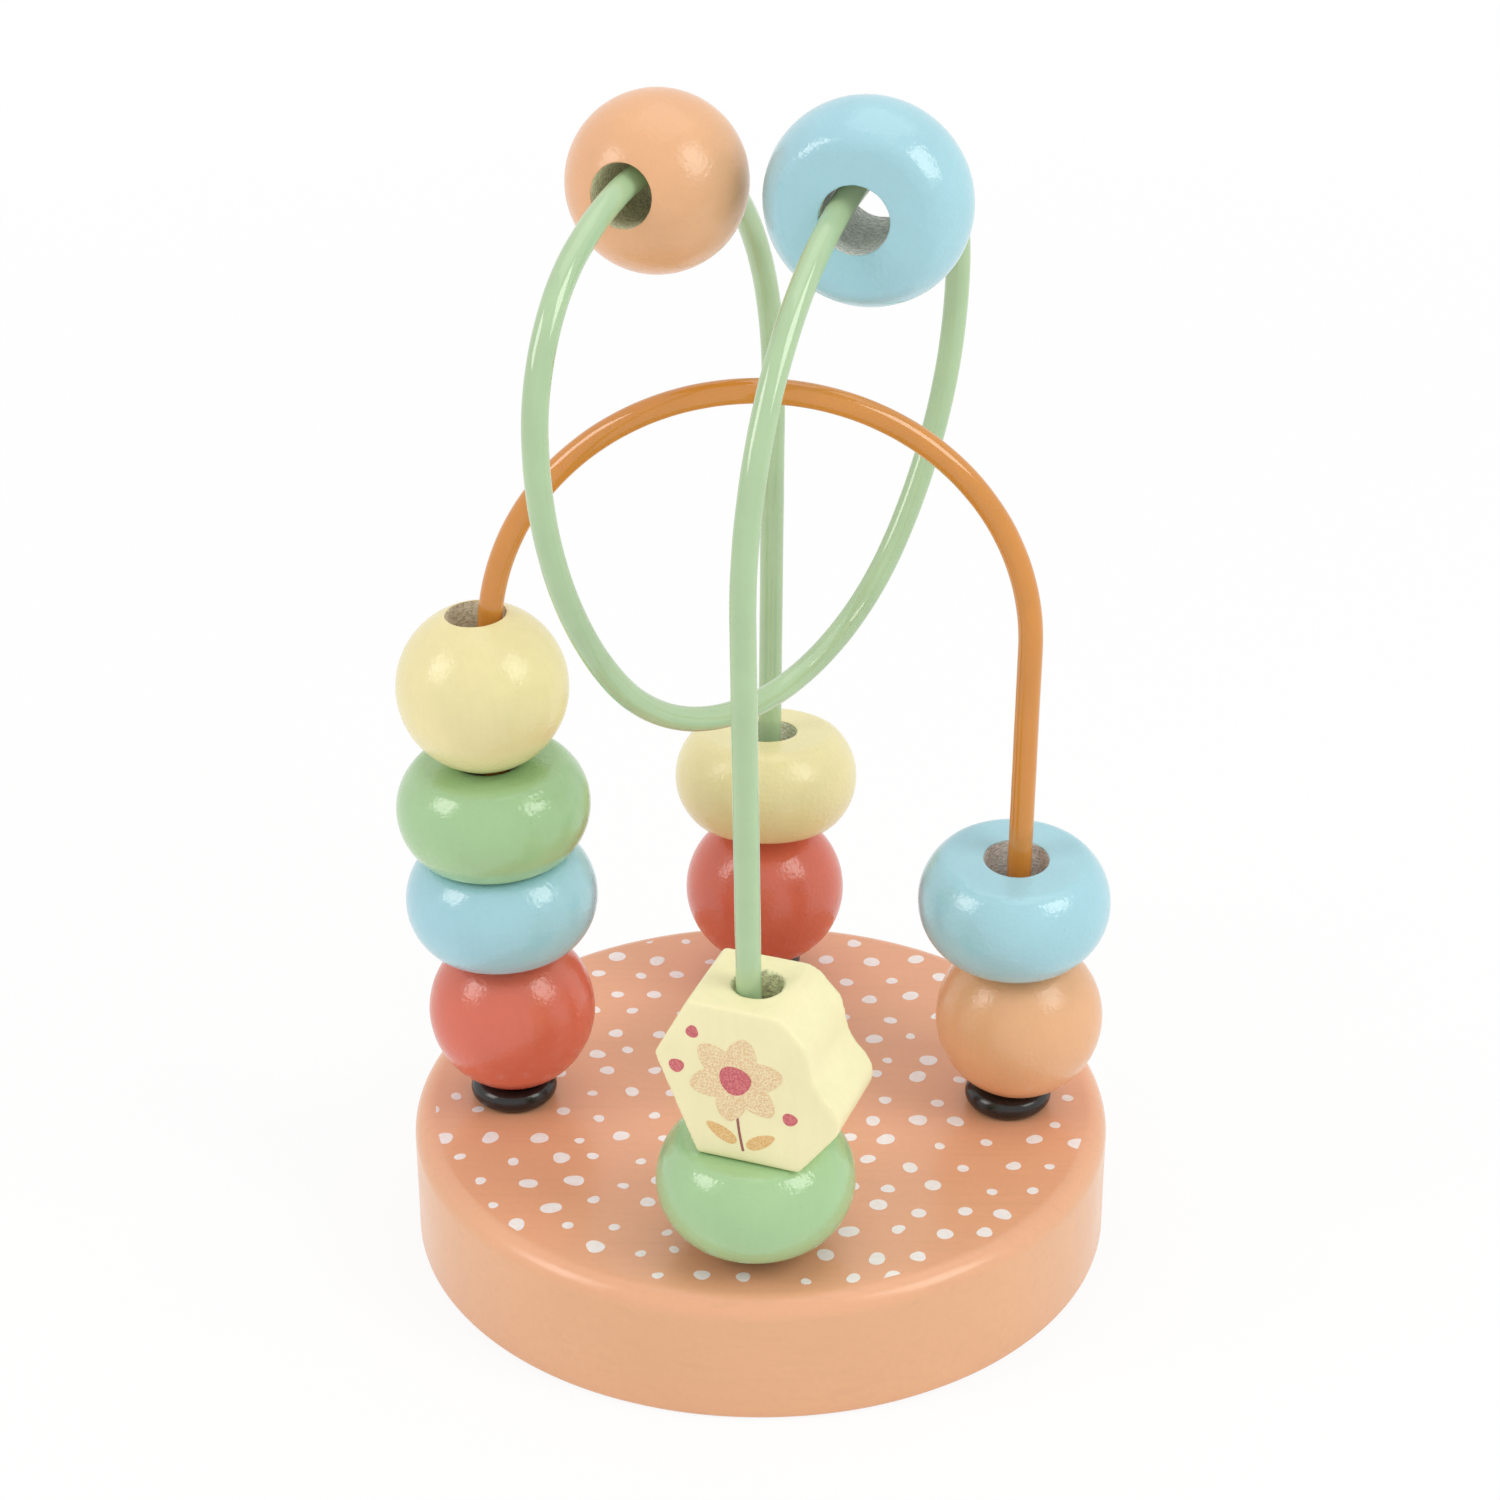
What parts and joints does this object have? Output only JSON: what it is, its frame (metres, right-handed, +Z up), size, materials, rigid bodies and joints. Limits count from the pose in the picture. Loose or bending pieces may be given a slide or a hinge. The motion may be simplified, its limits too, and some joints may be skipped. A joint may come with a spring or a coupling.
{
  "type": "bead maze",
  "caption": "Toy bead maze: round wooden base with an arch wire and a looped wire rising from it, and painted wooden balls, discs and a bird-shaped bead that slide on the wires.",
  "frame": {"origin": "centre of the flat underside of the base, on the ground", "axes": "+Z up, the arch wire's feet on X, the loop wire's feet on Y with the bird bead at -Y, the front"},
  "size_m": [0.1056, 0.105, 0.1788],
  "materials": {
    "base_paint": "satin paint",
    "arch_coat": "gloss coating",
    "loop_coat": "gloss coating",
    "grommet_black": "gloss",
    "red_paint": "satin paint",
    "blue_paint": "satin paint",
    "green_paint": "satin paint",
    "yellow_paint": "satin paint",
    "peach_paint": "satin paint",
    "bird_paint": "matt paint"
  },
  "bodies": {
    "stand": {"base": "base_paint", "arch_wire": "arch_coat", "loop_wire": "loop_coat", "grommet_left": "grommet_black", "grommet_right": "grommet_black", "grommet_front": "grommet_black", "grommet_rear": "grommet_black"},
    "ball_red_left": {"ball_red_left": "red_paint"},
    "disc_blue_left": {"disc_blue_left": "blue_paint"},
    "disc_green_left": {"disc_green_left": "green_paint"},
    "ball_yellow_left": {"ball_yellow_left": "yellow_paint"},
    "ball_peach_right": {"ball_peach_right": "peach_paint"},
    "disc_blue_right": {"disc_blue_right": "blue_paint"},
    "ball_red_rear": {"ball_red_rear": "red_paint"},
    "disc_yellow_rear": {"disc_yellow_rear": "yellow_paint"},
    "disc_green_front": {"disc_green_front": "green_paint"},
    "bird_bead": {"bird_bead": "bird_paint"},
    "ball_peach_top": {"ball_peach_top": "peach_paint"},
    "disc_blue_top": {"disc_blue_top": "blue_paint"}
  },
  "joints": [
    {"name": "ball_red_left_spin", "type": "hinge", "parent": "stand", "child": "ball_red_left", "pos_m": [-0.0373, 0, 0.03559], "axis": [-0.0459, 0, 0.9989], "continuous": true},
    {"name": "disc_blue_left_spin", "type": "hinge", "parent": "stand", "child": "disc_blue_left", "pos_m": [-0.03819, 0, 0.05496], "axis": [-0.0459, 0, 0.9989], "continuous": true},
    {"name": "disc_green_left_spin", "type": "hinge", "parent": "stand", "child": "disc_green_left", "pos_m": [-0.03889, 0, 0.07015], "axis": [-0.0459, 0, 0.9989], "continuous": true},
    {"name": "ball_yellow_left_ride", "type": "hinge", "parent": "stand", "child": "ball_yellow_left", "pos_m": [0.008, 0, 0.089], "axis": [0, 1, 0], "range_deg": [0, 60]},
    {"name": "ball_peach_right_slide", "type": "slide", "parent": "stand", "child": "ball_peach_right", "axis": [0.0122, 0, 0.9999], "range_m": [0, 0.02]},
    {"name": "disc_blue_right_slide", "type": "slide", "parent": "ball_peach_right", "child": "disc_blue_right", "axis": [0.0122, 0, 0.9999], "range_m": [0, 0.022]},
    {"name": "ball_red_rear_slide", "type": "slide", "parent": "stand", "child": "ball_red_rear", "axis": [0.0095, 0.0244, 0.9997], "range_m": [0, 0.031]},
    {"name": "disc_yellow_rear_slide", "type": "slide", "parent": "ball_red_rear", "child": "disc_yellow_rear", "axis": [0.0095, 0.0244, 0.9997], "range_m": [0, 0.032]},
    {"name": "disc_green_front_slide", "type": "slide", "parent": "stand", "child": "disc_green_front", "axis": [-0.0095, -0.0244, 0.9997], "range_m": [0, 0.03]},
    {"name": "bird_bead_slide", "type": "slide", "parent": "disc_green_front", "child": "bird_bead", "axis": [-0.0095, -0.0244, 0.9997], "range_m": [0, 0.031]},
    {"name": "ball_peach_top_ride", "type": "hinge", "parent": "stand", "child": "ball_peach_top", "pos_m": [-0.01591, -0.0029, 0.12068], "axis": [0.932, -0.3625, 0], "range_deg": [-47, 28]},
    {"name": "disc_blue_top_ride", "type": "hinge", "parent": "stand", "child": "disc_blue_top", "pos_m": [0.01591, 0.0029, 0.12068], "axis": [-0.932, 0.3625, 0], "range_deg": [-45, 32]}
  ]
}
